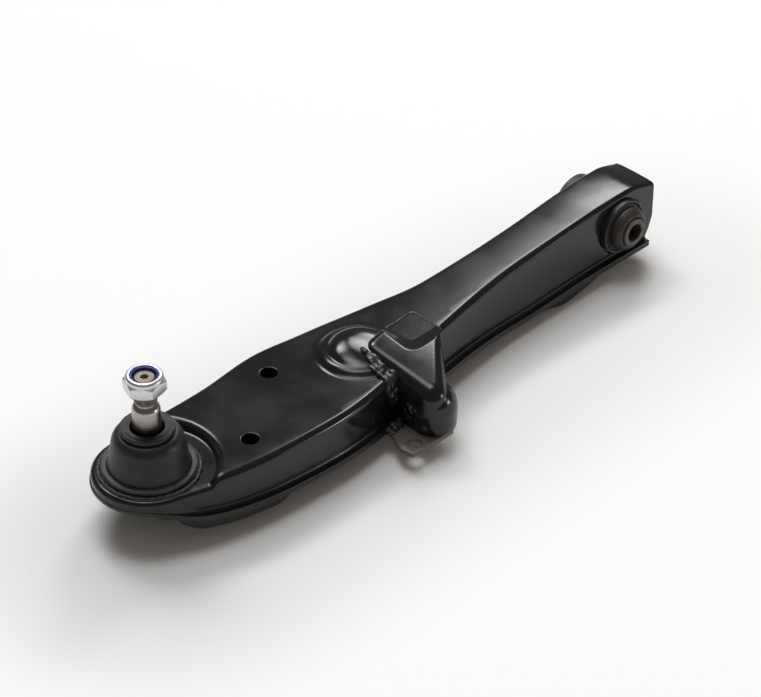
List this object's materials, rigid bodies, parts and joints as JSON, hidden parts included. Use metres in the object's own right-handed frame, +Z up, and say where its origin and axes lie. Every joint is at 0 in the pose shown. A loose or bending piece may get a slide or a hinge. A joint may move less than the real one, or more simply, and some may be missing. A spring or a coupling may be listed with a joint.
{
  "type": "control arm",
  "caption": "Pressed-steel lower suspension arm with a rubber bush at one end, a ball joint with taper stud and lock nut at the other, and a welded side bracket",
  "frame": {"origin": "centre of the bush, on the pivot bolt's axis", "axes": "+X runs outboard along the arm to the ball joint, +Y along the bush axis to the bracket's side, +Z up along the ball stud"},
  "size_m": [0.4454, 0.1155, 0.1056],
  "materials": {
    "arm_paint": "black dip-coat paint, semi-gloss",
    "weld": "painted weld bead",
    "dark_steel": "blackened steel",
    "bare_steel": "turned bare steel",
    "plated_steel": "zinc plated",
    "bush_rubber": "moulded rubber",
    "boot_rubber": "matte moulded rubber",
    "seat_plastic": "moulded bearing plastic",
    "nylon": "blue nylon"
  },
  "bodies": {
    "arm": {"upper_shell": "arm_paint", "lower_plate": "arm_paint", "strut_doubler": "arm_paint", "bush_tube": "arm_paint", "bush_outer_sleeve": "dark_steel", "bush_rubber": "bush_rubber", "bracket_hood": "arm_paint", "bracket_base_plate": "arm_paint", "bracket_nut": "plated_steel", "bracket_weld_side": "weld", "bracket_weld_pad": "weld", "bracket_weld_base": "weld", "ball_housing": "dark_steel", "lower_seat": "seat_plastic", "preload_washer": "bare_steel", "housing_cap": "dark_steel", "housing_weld": "weld", "dust_boot": "boot_rubber", "boot_clamp_ring": "dark_steel"},
    "pivot_sleeve": {"bush_inner_sleeve": "dark_steel"},
    "floating_seat": {"ball_seat": "seat_plastic"},
    "swing_ring": {"boot_top_ring": "dark_steel"},
    "stud": {"ball_stud": "bare_steel", "lock_nut": "plated_steel", "nylon_insert": "nylon"}
  },
  "joints": [
    {"name": "bush_twist", "type": "hinge", "parent": "arm", "child": "pivot_sleeve", "pos_m": [0, 0, 0], "axis": [0, 1, 0], "range_deg": [-25, 25], "stiffness_Nm_per_rad": 20},
    {"name": "stud_tilt", "type": "hinge", "parent": "arm", "child": "floating_seat", "pos_m": [0.38, 0, 0.004], "axis": [1, 0, 0], "range_deg": [-20, 20], "deforming": ["dust_boot"]},
    {"name": "stud_swing", "type": "hinge", "parent": "floating_seat", "child": "swing_ring", "pos_m": [0.38, 0, 0.004], "axis": [0, 1, 0], "range_deg": [-20, 20], "deforming": ["dust_boot"]},
    {"name": "stud_spin", "type": "hinge", "parent": "swing_ring", "child": "stud", "pos_m": [0.38, 0, 0.004], "axis": [0, 0, 1], "continuous": true}
  ]
}
